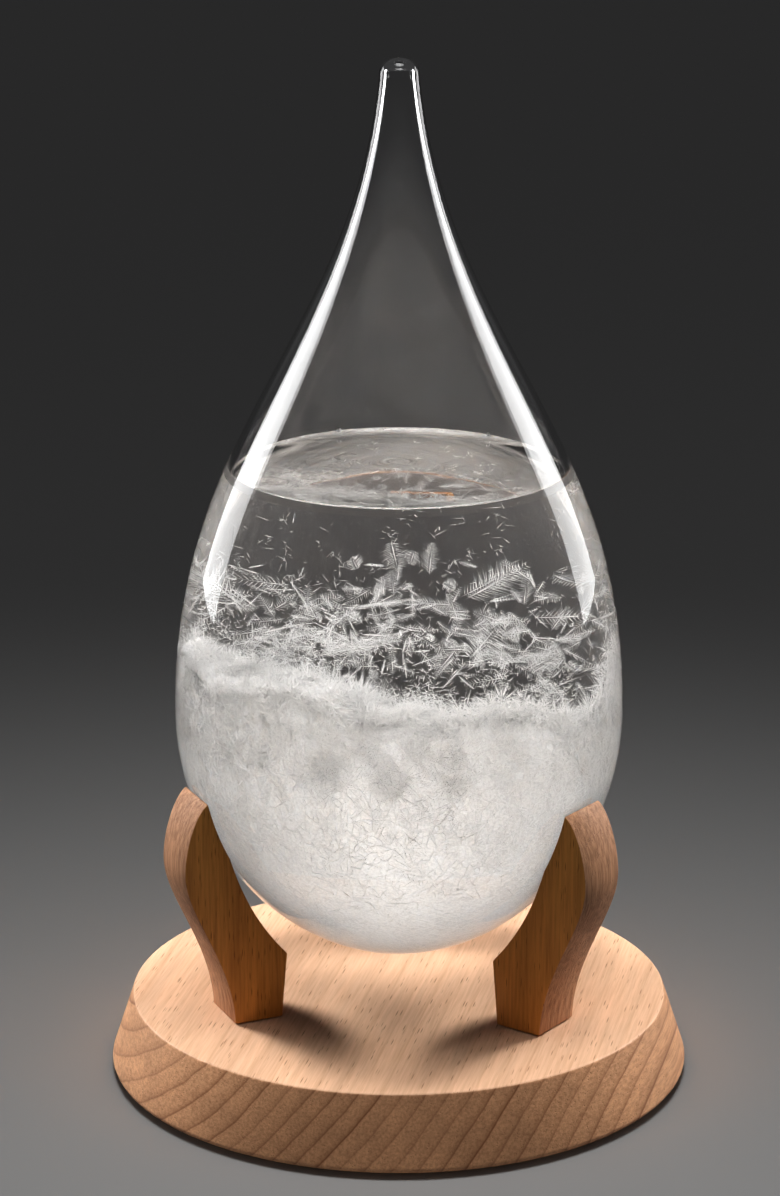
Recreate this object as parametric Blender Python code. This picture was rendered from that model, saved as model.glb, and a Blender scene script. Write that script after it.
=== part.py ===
"""A storm glass weather forecaster: a sealed glass water drop, part filled with a camphor solution
and its settled crystals, which stands in three beech claw legs on a turned beech base.

Metres, +Z up. The origin is on the drop's axis, on the surface that the felt pads stand on.
The drop lifts straight up out of its legs.
"""

import math

import bmesh
import bpy
from mathutils import Matrix, Vector

# ---------------------------------------------------------------- driving dimensions
GAP = 0.0003  # kept between pieces that touch on the real object

BASE_BOTTOM_RADIUS = 0.0725
BASE_TAPER = 0.0053  # the top's radius is this much less than the bottom's
BASE_HEIGHT = 0.018
BASE_TOP_EASE = 0.0006
BASE_BOTTOM_EASE = 0.0012

PAD_RADIUS = 0.007
PAD_THICKNESS = 0.001
PAD_INSET = 0.017  # pad centre, in from the base's bottom edge
PAD_AZIMUTHS = {"right": 24.5, "left": 144.5, "front": 264.5}  # degrees from +X

BULB_CLEARANCE = 0.0116  # the drop's lowest point over the base
BULB_HEIGHT = 0.222
BELLY_RADIUS = 0.0552
BELLY_HEIGHT = 0.0622  # widest level, over the drop's lowest point
WALL = 0.0016
TIP_RADIUS = 0.0048
NECK_FLARE = 0.00654  # how far the neck has opened where it starts to become the cone
SEAL_HEIGHT = 0.0032
SEAL_STEM = 0.0015
SEAL_ROUNDNESS = 0.85  # 1 is a half ellipse; less is squarer at the rim
LIQUID_HEIGHT = 0.1222  # liquid level, over the drop's lowest point
BED_HEIGHT = 0.0735  # mean level of the settled crystals, over the drop's lowest point
BED_TILT = 0.0055  # the crystals lie higher on the left by this much at the wall
BED_WAVE = 0.0035  # height of the heaps on the crystals

LEG_AZIMUTHS = {"left": 204.5, "right": 324.5, "back": 84.5}  # degrees from +X
LEG_THICKNESS = 0.015
LEG_DEPTH = 0.0133  # from the glass to the leg's back, where the back bulges most
LEG_HEIGHT = 0.0585  # tip of the leg, over the base
LEG_SEAT_DROP = 0.015  # the leg follows the glass for this far below its tip
LEG_BULGE_HEIGHT = 0.0409
LEG_TAIL = 0.0126  # the foot's back face is this far in from the bulge
FOOT_DEPTH = 0.0125
FOOT_HEIGHT = 0.0167  # the inner corner, over the base
FOOT_LEAN = 0.0015  # the inner corner overhangs the foot by this much
# Bends of the leg's curves: shares of the way from one key point to the next.
TIP_ROUNDNESS = 0.5
TIP_DROOP = 0.1
SHOULDER_LIFT = 0.4
WAIST_START = 0.254
WAIST_DEPTH = 0.04
WAIST_END = 0.41
THROAT_REACH = 0.63
THROAT_RISE = 0.385
SEAT_RUN_IN = 0.15
SEAT_RUN_DROP = 0.26

SCREW_RADIUS = 0.0018
SCREW_HEAD_RADIUS = 0.0035
SCREW_HEAD_DEPTH = 0.0024
SCREW_SINK = 0.0005  # head below the base's underside
SCREW_BITE = 0.012  # into the leg
SCREW_POINT = 0.003
SCREW_BLUNTNESS = 0.3  # share of the radius that the point's flat end keeps
RECESS_LENGTH = 0.0036
RECESS_WIDTH = 0.0008
RECESS_DEPTH = 0.0012
DOWEL_RADIUS = 0.002
DOWEL_HALF_LENGTH = 0.006
DOWEL_CHAMFER = 0.0005
FIXING_SPREAD = 0.0035  # screw and dowel, each side of the leg's middle plane

ROUND_SIDES = 48  # sides of the drop and what it holds
BASE_SIDES = 72
SMALL_SIDES = 20
BULB_LOWER_STEPS = 13
BULB_UPPER_STEPS = 14
BED_GRID_CELLS = 22
DOME_STEPS = 7
TOP_EASE_STEPS = 3
BOTTOM_EASE_STEPS = 4
SEAT_STEPS = 5
LEG_BACK_STEPS = 8
LEG_TAIL_STEPS = 12
LEG_FRONT_STEPS = 9

# Shape of the drop's two curves, as shares of the heights and radii that they join.
UNDERSIDE_FULLNESS = 0.475
BELLY_FULLNESS = 0.589
SHOULDER_FULLNESS = 0.4537
NECK_REACH = 0.4072

# Heaps on the crystals: waves over the bed, in radians per belly radius, and where each starts.
HEAP_ACROSS = 4.1
HEAP_AHEAD = 3.3
HEAP_START = (0.6, -0.4)
RIPPLE_AHEAD = 7.3
RIPPLE_ACROSS = 2.1
RIPPLE_START = 1.0
RIPPLE_SHARE = 0.5

# ---------------------------------------------------------------- places worked out from them
BASE_TOP_RADIUS = BASE_BOTTOM_RADIUS - BASE_TAPER
BASE_BOTTOM = PAD_THICKNESS + GAP
BASE_TOP = BASE_BOTTOM + BASE_HEIGHT
LEG_BOTTOM = BASE_TOP + GAP
BULB_BOTTOM = BASE_TOP + BULB_CLEARANCE
BORE_RADIUS = TIP_RADIUS - WALL
RIM_HEIGHT = BULB_HEIGHT - SEAL_HEIGHT
NECK_LIP = TIP_RADIUS / 4  # straight part of the neck, below its rim


def curve_points(start, start_handle, end_handle, end, steps):
    """Points on a cubic curve, both ends included."""
    ends = [Vector(start), Vector(start_handle), Vector(end_handle), Vector(end)]
    points = []
    for step in range(steps + 1):
        t = step / steps
        weights = [(1 - t) ** 3, 3 * (1 - t) ** 2 * t, 3 * (1 - t) * t**2, t**3]
        point = Vector((0, 0))
        for weight, corner in zip(weights, ends):
            point += weight * corner
        points.append(point)
    return points


def arc_points(centre, radius, start_degrees, end_degrees, steps):
    points = []
    for step in range(steps + 1):
        angle = math.radians(start_degrees + (end_degrees - start_degrees) * step / steps)
        points.append(Vector(centre) + radius * Vector((math.cos(angle), math.sin(angle))))
    return points


def bulb_outline():
    """(radius, height) down the outside of the drop to its lowest point, below the seal."""
    neck_start = RIM_HEIGHT - NECK_LIP
    cone_height = neck_start - BELLY_HEIGHT
    upper = curve_points(
        (TIP_RADIUS, neck_start),
        (TIP_RADIUS + NECK_FLARE, neck_start - NECK_REACH * cone_height),
        (BELLY_RADIUS, BELLY_HEIGHT + SHOULDER_FULLNESS * cone_height),
        (BELLY_RADIUS, BELLY_HEIGHT),
        BULB_UPPER_STEPS,
    )
    lower = curve_points(
        (BELLY_RADIUS, BELLY_HEIGHT),
        (BELLY_RADIUS, (1 - BELLY_FULLNESS) * BELLY_HEIGHT),
        (UNDERSIDE_FULLNESS * BELLY_RADIUS, 0),
        (0, 0),
        BULB_LOWER_STEPS,
    )
    return [Vector((TIP_RADIUS, RIM_HEIGHT))] + upper + lower[1:]


def moved_in(outline, distance):
    """The same outline, moved square to itself towards the inside of the drop."""
    inner = []
    for index, point in enumerate(outline):
        before = outline[max(index - 1, 0)]
        after = outline[min(index + 1, len(outline) - 1)]
        along = (after - before).normalized()
        inner.append(point + distance * Vector((along.y, -along.x)))
    inner[0] = Vector((outline[0].x - distance, outline[0].y))
    inner[-1] = Vector((0, outline[-1].y + distance))
    return inner


def radius_at(outline, height):
    """Radius of a top-to-bottom outline at a height."""
    for upper, lower in zip(outline, outline[1:]):
        if lower.y <= height <= upper.y:
            share = (height - lower.y) / max(upper.y - lower.y, 1e-9)
            return lower.x + share * (upper.x - lower.x)
    return 0.0


# ---------------------------------------------------------------- helpers that make objects
def finish(name, colour, roughness, metallic=0.0, transmission=0.0):
    material = bpy.data.materials.new(name)
    material.use_nodes = True
    shader = material.node_tree.nodes["Principled BSDF"]
    shader.inputs["Base Color"].default_value = (*colour, 1.0)
    shader.inputs["Roughness"].default_value = roughness
    shader.inputs["Metallic"].default_value = metallic
    shader.inputs["Transmission Weight"].default_value = transmission
    return material


def add_object(name, bm, material=None, smooth_degrees=30):
    bmesh.ops.remove_doubles(bm, verts=bm.verts, dist=1e-7)
    bmesh.ops.recalc_face_normals(bm, faces=bm.faces)
    mesh = bpy.data.meshes.new(name)
    bm.to_mesh(mesh)
    bm.free()
    mesh.shade_smooth()
    mesh.set_sharp_from_angle(angle=math.radians(smooth_degrees))
    obj = bpy.data.objects.new(name, mesh)
    bpy.context.collection.objects.link(obj)
    if material:
        mesh.materials.append(material)
    return obj


def turned(name, outline, sides, material=None):
    """A turned piece: the outline goes round the Z axis, starting at +X."""
    bm = bmesh.new()
    verts = [bm.verts.new((point[0], 0, point[1])) for point in outline]
    edges = [bm.edges.new(pair) for pair in zip(verts, verts[1:])]
    if verts[0].co.x > 0:
        edges.append(bm.edges.new((verts[-1], verts[0])))
    bmesh.ops.spin(
        bm, geom=verts + edges, axis=(0, 0, 1), cent=(0, 0, 0), angle=math.tau, steps=sides, use_merge=True
    )
    return add_object(name, bm, material)


def sawn(name, outline, along, material=None):
    """A flat outline, given a thickness along a vector and centred on it."""
    bm = bmesh.new()
    half = Vector(along) / 2
    face = bm.faces.new([bm.verts.new(Vector(point) - half) for point in outline])
    made = bmesh.ops.extrude_face_region(bm, geom=[face])
    moving = [item for item in made["geom"] if isinstance(item, bmesh.types.BMVert)]
    bmesh.ops.translate(bm, verts=moving, vec=Vector(along))
    return add_object(name, bm, material)


def as_cutter(obj):
    obj.hide_render = True
    obj.display_type = "WIRE"
    return obj


def boolean(obj, cutter, operation):
    modifier = obj.modifiers.new(cutter.name, "BOOLEAN")
    modifier.operation = operation
    modifier.solver = "EXACT"
    modifier.object = cutter


def frame_empty(name, location):
    empty = bpy.data.objects.new(name, None)
    empty.location = location
    bpy.context.collection.objects.link(empty)
    return empty


# ---------------------------------------------------------------- the glass drop and what it holds
def crystal_level(x, y):
    """Height of the settled crystals at a point, over the drop's lowest point."""
    across = x / BELLY_RADIUS
    ahead = y / BELLY_RADIUS
    heaps = math.sin(HEAP_ACROSS * across + HEAP_START[0]) * math.cos(HEAP_AHEAD * ahead + HEAP_START[1])
    heaps += RIPPLE_SHARE * math.sin(RIPPLE_AHEAD * ahead + RIPPLE_ACROSS * across + RIPPLE_START)
    return BED_HEIGHT - BED_TILT * across + BED_WAVE * heaps


def crystal_divider(name, lift, thickness):
    """A block with the crystals' wavy level on one side; a negative thickness puts the block below it."""
    bm = bmesh.new()
    bmesh.ops.create_grid(
        bm, x_segments=BED_GRID_CELLS, y_segments=BED_GRID_CELLS, size=BELLY_RADIUS + WALL
    )
    for vert in bm.verts:
        vert.co.z = crystal_level(vert.co.x, vert.co.y) + lift
    made = bmesh.ops.extrude_face_region(bm, geom=bm.faces[:])
    moving = [item for item in made["geom"] if isinstance(item, bmesh.types.BMVert)]
    for vert in moving:
        vert.co.z = BED_HEIGHT + thickness
    return as_cutter(add_object(name, bm))


def make_drop(glass, liquid, crystals):
    carrier = frame_empty("drop_frame", (0, 0, BULB_BOTTOM))
    outside = bulb_outline()
    inside = moved_in(outside, WALL)
    bulb = turned("glass_bulb", outside + inside[::-1][:-1] + [inside[0]], ROUND_SIDES, glass)

    crown = BULB_HEIGHT - RIM_HEIGHT - GAP
    stem_bottom = RIM_HEIGHT - SEAL_STEM
    stem_radius = BORE_RADIUS - GAP
    dome = []
    for point in arc_points((0, 0), 1.0, 90, 0, DOME_STEPS):
        dome.append((TIP_RADIUS * point.x**SEAL_ROUNDNESS, RIM_HEIGHT + GAP + crown * point.y))
    stem = [(stem_radius, RIM_HEIGHT + GAP), (stem_radius, stem_bottom), (0, stem_bottom)]
    seal = turned("tip_seal", dome + stem, ROUND_SIDES, glass)

    held = [point for point in moved_in(outside, WALL + GAP) if point.y < LIQUID_HEIGHT]
    level_radius = radius_at(moved_in(outside, WALL + GAP), LIQUID_HEIGHT)
    filling = [(0, LIQUID_HEIGHT), (level_radius, LIQUID_HEIGHT)] + held
    upper_block = crystal_divider("liquid_divider", GAP, BULB_HEIGHT)
    lower_block = crystal_divider("crystal_divider", 0, -2 * BED_HEIGHT)
    solution = turned("storm_liquid", filling, ROUND_SIDES, liquid)
    boolean(solution, upper_block, "INTERSECT")
    bed = turned("crystal_bed", filling, ROUND_SIDES, crystals)
    boolean(bed, lower_block, "INTERSECT")

    for piece in (bulb, seal, solution, bed, upper_block, lower_block):
        piece.parent = carrier


# ---------------------------------------------------------------- the stand
def base_outline():
    """(radius, height) of the base, top to bottom."""
    slope = math.degrees(math.atan2(BASE_HEIGHT, BASE_TAPER))
    top_centre = (BASE_TOP_RADIUS - BASE_TOP_EASE, BASE_TOP - BASE_TOP_EASE)
    foot_centre = (BASE_BOTTOM_RADIUS - BASE_BOTTOM_EASE, BASE_BOTTOM + BASE_BOTTOM_EASE)
    top_ease = arc_points(top_centre, BASE_TOP_EASE, 90, 90 - slope, TOP_EASE_STEPS)
    bottom_ease = arc_points(foot_centre, BASE_BOTTOM_EASE, 90 - slope, -90, BOTTOM_EASE_STEPS)
    return [(0, BASE_TOP)] + top_ease + bottom_ease + [(0, BASE_BOTTOM)]


def leg_sizes():
    """Radii of the leg's key points, and its seat's heights over the floor."""
    outside = bulb_outline()
    tip_height = BASE_TOP + LEG_HEIGHT
    seat_height = tip_height - LEG_SEAT_DROP
    bulge_height = BASE_TOP + LEG_BULGE_HEIGHT
    bulge_radius = radius_at(outside, bulge_height - BULB_BOTTOM) + GAP + LEG_DEPTH
    back_radius = bulge_radius - LEG_TAIL
    front_radius = back_radius - FOOT_DEPTH
    return tip_height, seat_height, bulge_height, bulge_radius, back_radius, front_radius


def leg_outline():
    """(radius, height) round the leg's side view, from the tip down the back and up the glass side."""
    tip_height, seat_height, bulge_height, bulge_radius, back_radius, front_radius = leg_sizes()
    outside = bulb_outline()
    seat = []
    for step in range(SEAT_STEPS + 1):
        height = seat_height + LEG_SEAT_DROP * step / SEAT_STEPS
        seat.append(Vector((radius_at(outside, height - BULB_BOTTOM) + GAP, height)))
    tip = seat[-1]
    drop = tip_height - bulge_height
    back = curve_points(
        tip,
        tip + Vector((TIP_ROUNDNESS * (bulge_radius - tip.x), -TIP_DROOP * drop)),
        (bulge_radius, bulge_height + SHOULDER_LIFT * drop),
        (bulge_radius, bulge_height),
        LEG_BACK_STEPS,
    )
    tail = curve_points(
        (bulge_radius, bulge_height),
        (bulge_radius, bulge_height - WAIST_START * LEG_BULGE_HEIGHT),
        (back_radius + WAIST_DEPTH * LEG_TAIL, LEG_BOTTOM + WAIST_END * LEG_BULGE_HEIGHT),
        (back_radius, LEG_BOTTOM),
        LEG_TAIL_STEPS,
    )
    corner = Vector((front_radius - FOOT_LEAN, BASE_TOP + FOOT_HEIGHT))
    rise = seat_height - corner.y
    reach = seat[0].x - corner.x
    front = curve_points(
        corner,
        (corner.x + THROAT_REACH * reach, corner.y + THROAT_RISE * rise),
        (seat[0].x - SEAT_RUN_IN * reach, seat_height - SEAT_RUN_DROP * rise),
        seat[0],
        LEG_FRONT_STEPS,
    )
    return back + tail[1:] + [Vector((front_radius, LEG_BOTTOM))] + front + seat[1:-1]


def screw_outline(growth):
    """(radius, height) of a screw, point at the top; growth makes the hole that it goes through."""
    bottom = BASE_BOTTOM + SCREW_SINK
    point = LEG_BOTTOM + SCREW_BITE + growth
    neck = bottom + SCREW_HEAD_DEPTH
    radius = SCREW_RADIUS + growth
    head = SCREW_HEAD_RADIUS + growth
    blunt = radius * SCREW_BLUNTNESS
    outline = [(0, point), (blunt, point), (radius, point - SCREW_POINT), (radius, neck)]
    if growth:
        return outline + [(head, bottom), (head, BASE_BOTTOM - growth), (0, BASE_BOTTOM - growth)]
    return outline + [(head, bottom + growth), (0, bottom)]


def dowel_outline(growth):
    top = BASE_TOP + DOWEL_HALF_LENGTH + growth
    bottom = BASE_TOP - DOWEL_HALF_LENGTH - growth
    radius = DOWEL_RADIUS + growth
    chamfer = 0 if growth else DOWEL_CHAMFER
    outline = [(0, top), (radius - chamfer, top)]
    if chamfer:
        outline += [(radius, top - chamfer), (radius, bottom + chamfer)]
    return outline + [(radius - chamfer, bottom), (0, bottom)]


def cross_recess(name):
    """The driver's cross, as a cutter under a screw's head."""
    long = RECESS_LENGTH / 2
    short = RECESS_WIDTH / 2
    quarter = [(long, -short), (long, short), (short, short)]
    outline = []
    for turn in range(4):
        angle = turn * math.pi / 2
        for x, y in quarter:
            turned_x = x * math.cos(angle) - y * math.sin(angle)
            turned_y = x * math.sin(angle) + y * math.cos(angle)
            outline.append((turned_x, turned_y, BASE_BOTTOM + SCREW_SINK))
    return as_cutter(sawn(name, outline, (0, 0, 2 * RECESS_DEPTH)))


def place_at(obj, radius, across, turn, frame):
    """Stands a piece on the stand at a radius, to one side of a leg's middle plane."""
    location = Vector((radius, across, 0))
    location.rotate(Matrix.Rotation(turn, 3, "Z"))
    obj.location = location
    obj.rotation_euler.z = turn
    obj.parent = frame


def make_stand(beech, leg_beech, steel, felt):
    frame = frame_empty("stand_frame", (0, 0, 0))
    base = turned("stand_base", base_outline(), BASE_SIDES, beech)
    base.parent = frame
    fixing_radius = leg_sizes()[5] + FOOT_DEPTH / 2
    for side, azimuth in LEG_AZIMUTHS.items():
        turn = math.radians(azimuth)
        outline = [(point.x, 0, point.y) for point in leg_outline()]
        leg = sawn("claw_leg_" + side, outline, (0, LEG_THICKNESS, 0), leg_beech)
        place_at(leg, 0, 0, turn, frame)
        screw = turned("leg_screw_" + side, screw_outline(0), SMALL_SIDES, steel)
        screw_hole = as_cutter(turned("screw_hole_" + side, screw_outline(GAP), SMALL_SIDES))
        recess = cross_recess("recess_" + side)
        dowel = turned("leg_dowel_" + side, dowel_outline(0), SMALL_SIDES, beech)
        dowel_hole = as_cutter(turned("dowel_hole_" + side, dowel_outline(GAP), SMALL_SIDES))
        for obj in (screw, screw_hole, recess):
            place_at(obj, fixing_radius, -FIXING_SPREAD, turn, frame)
        for obj in (dowel, dowel_hole):
            place_at(obj, fixing_radius, FIXING_SPREAD, turn, frame)
        boolean(screw, recess, "DIFFERENCE")
        for hole in (screw_hole, dowel_hole):
            boolean(base, hole, "DIFFERENCE")
            boolean(leg, hole, "DIFFERENCE")

    pad_outline = [(0, PAD_THICKNESS), (PAD_RADIUS, PAD_THICKNESS), (PAD_RADIUS, 0), (0, 0)]
    for side, azimuth in PAD_AZIMUTHS.items():
        pad = turned("felt_pad_" + side, pad_outline, SMALL_SIDES, felt)
        place_at(pad, BASE_BOTTOM_RADIUS - PAD_INSET, 0, math.radians(azimuth), frame)


def main():
    for obj in list(bpy.data.objects):
        bpy.data.objects.remove(obj, do_unlink=True)
    glass = finish("borosilicate glass", (0.96, 0.98, 0.98), 0.02, transmission=1.0)
    liquid = finish("camphor solution", (0.93, 0.95, 0.96), 0.02, transmission=1.0)
    crystals = finish("camphor crystals", (0.93, 0.92, 0.9), 0.6)
    beech = finish("beech", (0.78, 0.52, 0.33), 0.55)
    leg_beech = finish("steamed beech", (0.52, 0.28, 0.12), 0.5)
    steel = finish("zinc plated steel", (0.7, 0.7, 0.68), 0.35, metallic=1.0)
    felt = finish("grey felt", (0.2, 0.19, 0.18), 0.95)
    make_stand(beech, leg_beech, steel, felt)
    make_drop(glass, liquid, crystals)


main()
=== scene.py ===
"""Looks of the storm glass: a sealed drop of camphor solution and crystals, in a beech claw stand."""

import math

import bpy
import numpy as np
from mathutils import Matrix, Vector, noise


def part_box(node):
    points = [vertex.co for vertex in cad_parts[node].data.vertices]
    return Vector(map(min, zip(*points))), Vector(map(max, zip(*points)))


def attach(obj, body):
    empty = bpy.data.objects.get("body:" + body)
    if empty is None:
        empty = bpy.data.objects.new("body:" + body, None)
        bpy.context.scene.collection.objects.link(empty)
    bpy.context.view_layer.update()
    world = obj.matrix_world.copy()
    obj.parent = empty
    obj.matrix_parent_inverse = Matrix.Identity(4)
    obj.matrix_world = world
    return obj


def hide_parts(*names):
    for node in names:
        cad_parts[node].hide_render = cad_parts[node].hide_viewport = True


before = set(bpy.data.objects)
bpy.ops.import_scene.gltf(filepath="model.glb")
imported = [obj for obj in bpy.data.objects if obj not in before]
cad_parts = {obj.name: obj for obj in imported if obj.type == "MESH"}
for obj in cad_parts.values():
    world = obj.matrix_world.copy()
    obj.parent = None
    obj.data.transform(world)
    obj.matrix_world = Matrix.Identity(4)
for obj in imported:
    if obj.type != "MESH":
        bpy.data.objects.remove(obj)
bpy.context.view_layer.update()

# ---------------- places read from the frame
BULB_LOW, BULB_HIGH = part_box("glass_bulb")
SEAL_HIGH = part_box("tip_seal")[1]
BASE_LOW, BASE_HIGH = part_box("stand_base")
LIQUID_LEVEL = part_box("storm_liquid")[1].z

BULB_BOTTOM = BULB_LOW.z
BULB_HEIGHT = SEAL_HIGH.z - BULB_BOTTOM
BELLY_RADIUS = BULB_HIGH.x
BASE_BOTTOM = BASE_LOW.z
BASE_TOP = BASE_HIGH.z
BASE_RADIUS = BASE_HIGH.x

# ---------------- the maker's own sizes, in metres
GAP = 0.0003
BELLY_HEIGHT = 0.0622
WALL = 0.0016
TIP_RADIUS = 0.0048
NECK_FLARE = 0.00654
SEAL_HEIGHT = 0.0032
UNDERSIDE_FULLNESS = 0.475
BELLY_FULLNESS = 0.589
SHOULDER_FULLNESS = 0.4537
NECK_REACH = 0.4072
MENISCUS_RISE = 0.0013
MENISCUS_WIDTH = 0.0026

BASE_TOP_RADIUS = 0.0672
LEG_AZIMUTHS = {"left": 204.5, "right": 324.5, "back": 84.5}
LEG_THICKNESS = 0.015
LEG_DEPTH = 0.0133
LEG_HEIGHT = 0.0585
LEG_SEAT_DROP = 0.015
LEG_BULGE_HEIGHT = 0.0409
LEG_TAIL = 0.0126
FOOT_DEPTH = 0.0125
FOOT_HEIGHT = 0.0167
FOOT_LEAN = 0.0015
GLASS_SIDES = 192


# ---------------- outlines
def curve_points(start, start_handle, end_handle, end, steps):
    """Points on a cubic curve, both ends included."""
    corners = [Vector(start), Vector(start_handle), Vector(end_handle), Vector(end)]
    points = []
    for step in range(steps + 1):
        t = step / steps
        weights = [(1 - t) ** 3, 3 * (1 - t) ** 2 * t, 3 * (1 - t) * t**2, t**3]
        points.append(sum((w * c for w, c in zip(weights, corners)), Vector((0, 0))))
    return points


def arc_points(centre, radius, start_degrees, end_degrees, steps):
    points = []
    for step in range(steps + 1):
        angle = math.radians(start_degrees + (end_degrees - start_degrees) * step / steps)
        points.append(Vector(centre) + radius * Vector((math.cos(angle), math.sin(angle))))
    return points


def bulb_outline(steps=60):
    """(radius, height over the floor) from the neck's end down the outside of the drop."""
    neck_start = BULB_HEIGHT - SEAL_HEIGHT - TIP_RADIUS / 4
    cone = neck_start - BELLY_HEIGHT
    upper = curve_points(
        (TIP_RADIUS, neck_start),
        (TIP_RADIUS + NECK_FLARE, neck_start - NECK_REACH * cone),
        (BELLY_RADIUS, BELLY_HEIGHT + SHOULDER_FULLNESS * cone),
        (BELLY_RADIUS, BELLY_HEIGHT),
        steps,
    )
    lower = curve_points(
        (BELLY_RADIUS, BELLY_HEIGHT),
        (BELLY_RADIUS, (1 - BELLY_FULLNESS) * BELLY_HEIGHT),
        (UNDERSIDE_FULLNESS * BELLY_RADIUS, 0),
        (0, 0),
        steps,
    )
    return [point + Vector((0, BULB_BOTTOM)) for point in upper + lower[1:]]


def moved_in(outline, distance):
    """The same outline, moved square to itself towards the inside of the drop."""
    inner = []
    for index, point in enumerate(outline):
        before = outline[max(index - 1, 0)]
        after = outline[min(index + 1, len(outline) - 1)]
        along = (after - before).normalized()
        inner.append(point + distance * Vector((along.y, -along.x)))
    inner[-1] = Vector((0, outline[-1].y + distance))
    return inner


def radii_at(outline, heights):
    """Radius of a top-to-bottom outline at each height."""
    upwards = outline[::-1]
    return np.interp(heights, [point.y for point in upwards], [point.x for point in upwards])


def radius_at(outline, height):
    return float(radii_at(outline, height))


OUTSIDE = bulb_outline()
INSIDE = moved_in(OUTSIDE, WALL)


# ---------------- modelling helpers
def mode(kind):
    bpy.ops.object.mode_set(mode=kind)


def start_piece(name):
    """One vertex at the origin, in edit mode, with nothing else selected."""
    bpy.ops.object.select_all(action="DESELECT")
    bpy.ops.mesh.primitive_plane_add(size=0.001)
    piece = bpy.context.object
    piece.name = name
    piece.data.name = name
    mode("EDIT")
    bpy.ops.mesh.select_all(action="SELECT")
    bpy.ops.mesh.merge(type="CENTER")
    return piece


def draw_outline(points):
    """Moves the one vertex to the first point and extrudes it along the rest."""
    bpy.ops.transform.translate(value=Vector(points[0]))
    for before, after in zip(points, points[1:]):
        step = Vector(after) - Vector(before)
        bpy.ops.mesh.extrude_region_move(TRANSFORM_OT_translate={"value": step})


def finish_edit(inside=False):
    bpy.ops.mesh.select_all(action="SELECT")
    bpy.ops.mesh.remove_doubles(threshold=1e-6)
    bpy.ops.mesh.normals_make_consistent(inside=inside)
    mode("OBJECT")


def apply_modifier(piece, kind, **settings):
    modifier = piece.modifiers.new(kind.title(), kind)
    for key, value in settings.items():
        setattr(modifier, key, value)
    bpy.context.view_layer.objects.active = piece
    bpy.ops.object.modifier_apply(modifier=modifier.name)


def select_only(*pieces):
    bpy.ops.object.select_all(action="DESELECT")
    for piece in pieces:
        piece.select_set(True)
    bpy.context.view_layer.objects.active = pieces[0]


def smooth_over(piece, degrees):
    """Smooth shading, with an edge left sharp where it turns by more than this."""
    select_only(piece)
    bpy.ops.object.shade_smooth_by_angle(angle=math.radians(degrees))


def turned(name, outline, sides, smooth=35, inside=False):
    """A turned piece, from an outline of (radius, height)."""
    piece = start_piece(name)
    draw_outline([(point[0], 0, point[1]) for point in outline])
    mode("OBJECT")
    apply_modifier(
        piece,
        "SCREW",
        steps=sides,
        render_steps=sides,
        use_merge_vertices=True,
        merge_threshold=1e-6,
        use_smooth_shade=True,
    )
    mode("EDIT")
    finish_edit(inside)
    smooth_over(piece, smooth)
    return piece


def join(first, *others):
    select_only(first, *others)
    bpy.ops.object.join()
    return first


def paint(piece, *materials):
    piece.data.materials.clear()
    for material in materials:
        piece.data.materials.append(material)


# ---------------- shader helpers
def set_inputs(node, values):
    """Sets each input to its value, or links it to another node's output."""
    for key, value in values.items():
        if isinstance(value, bpy.types.NodeSocket):
            node.id_data.links.new(value, node.inputs[key])
        else:
            node.inputs[key].default_value = value


def add_node(tree, kind, values=None, **settings):
    node = tree.nodes.new("ShaderNode" + kind)
    for key, value in settings.items():
        setattr(node, key, value)
    set_inputs(node, values or {})
    return node


def add_relief(tree, shader, height, strength, distance):
    values = {"Strength": strength, "Distance": distance, "Height": height}
    set_inputs(shader, {"Normal": add_node(tree, "Bump", values).outputs[0]})


def mix_surface(tree, share, first, second):
    """Gives the material's surface a mix of two shaders."""
    both = add_node(tree, "MixShader", {0: share, 1: first.outputs[0], 2: second.outputs[0]})
    set_inputs(tree.nodes["Material Output"], {"Surface": both.outputs[0]})


def scaled(tree, value, factor, offset):
    values = {0: value, 1: factor, 2: offset}
    return add_node(tree, "Math", values, operation="MULTIPLY_ADD").outputs[0]


def maths(tree, operation, first, second=0.0, clamp=False):
    node = add_node(tree, "Math", {0: first, 1: second}, operation=operation, use_clamp=clamp)
    return node.outputs[0]


def times(tree, first, second, clamp=False):
    return maths(tree, "MULTIPLY", first, second, clamp)


def mixed(tree, share, first, second, blend="MIX"):
    node = add_node(tree, "Mix", data_type="RGBA", blend_type=blend)
    set_inputs(node, {0: share, 6: first, 7: second})
    return node.outputs[2]


def ramp(tree, value, stops):
    node = add_node(tree, "ValToRGB", {"Fac": value})
    elements = node.color_ramp.elements
    while len(elements) < len(stops):
        elements.new(0.5)
    for element, (position, colour) in zip(elements, stops):
        element.position = position
        shade = colour if isinstance(colour, tuple) else (colour, colour, colour)
        element.color = (*shade, 1.0)
    return node.outputs["Color"]


def stretched_noise(tree, place, scale, detail=2.0, roughness=0.5):
    """Noise whose features are 1 / scale metres long each way."""
    stretch = add_node(tree, "VectorMath", {0: place, 1: scale}, operation="MULTIPLY")
    values = {"Vector": stretch.outputs[0], "Scale": 1.0, "Detail": detail, "Roughness": roughness}
    return add_node(tree, "TexNoise", values).outputs["Fac"]


def new_group(name, inputs, outputs):
    tree = bpy.data.node_groups.new(name, "ShaderNodeTree")
    for label, kind, value in inputs:
        socket = tree.interface.new_socket(label, in_out="INPUT", socket_type="NodeSocket" + kind)
        if value is not None:
            socket.default_value = value
    for label, kind in outputs:
        tree.interface.new_socket(label, in_out="OUTPUT", socket_type="NodeSocket" + kind)
    return tree, tree.nodes.new("NodeGroupInput").outputs, tree.nodes.new("NodeGroupOutput").inputs


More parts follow.
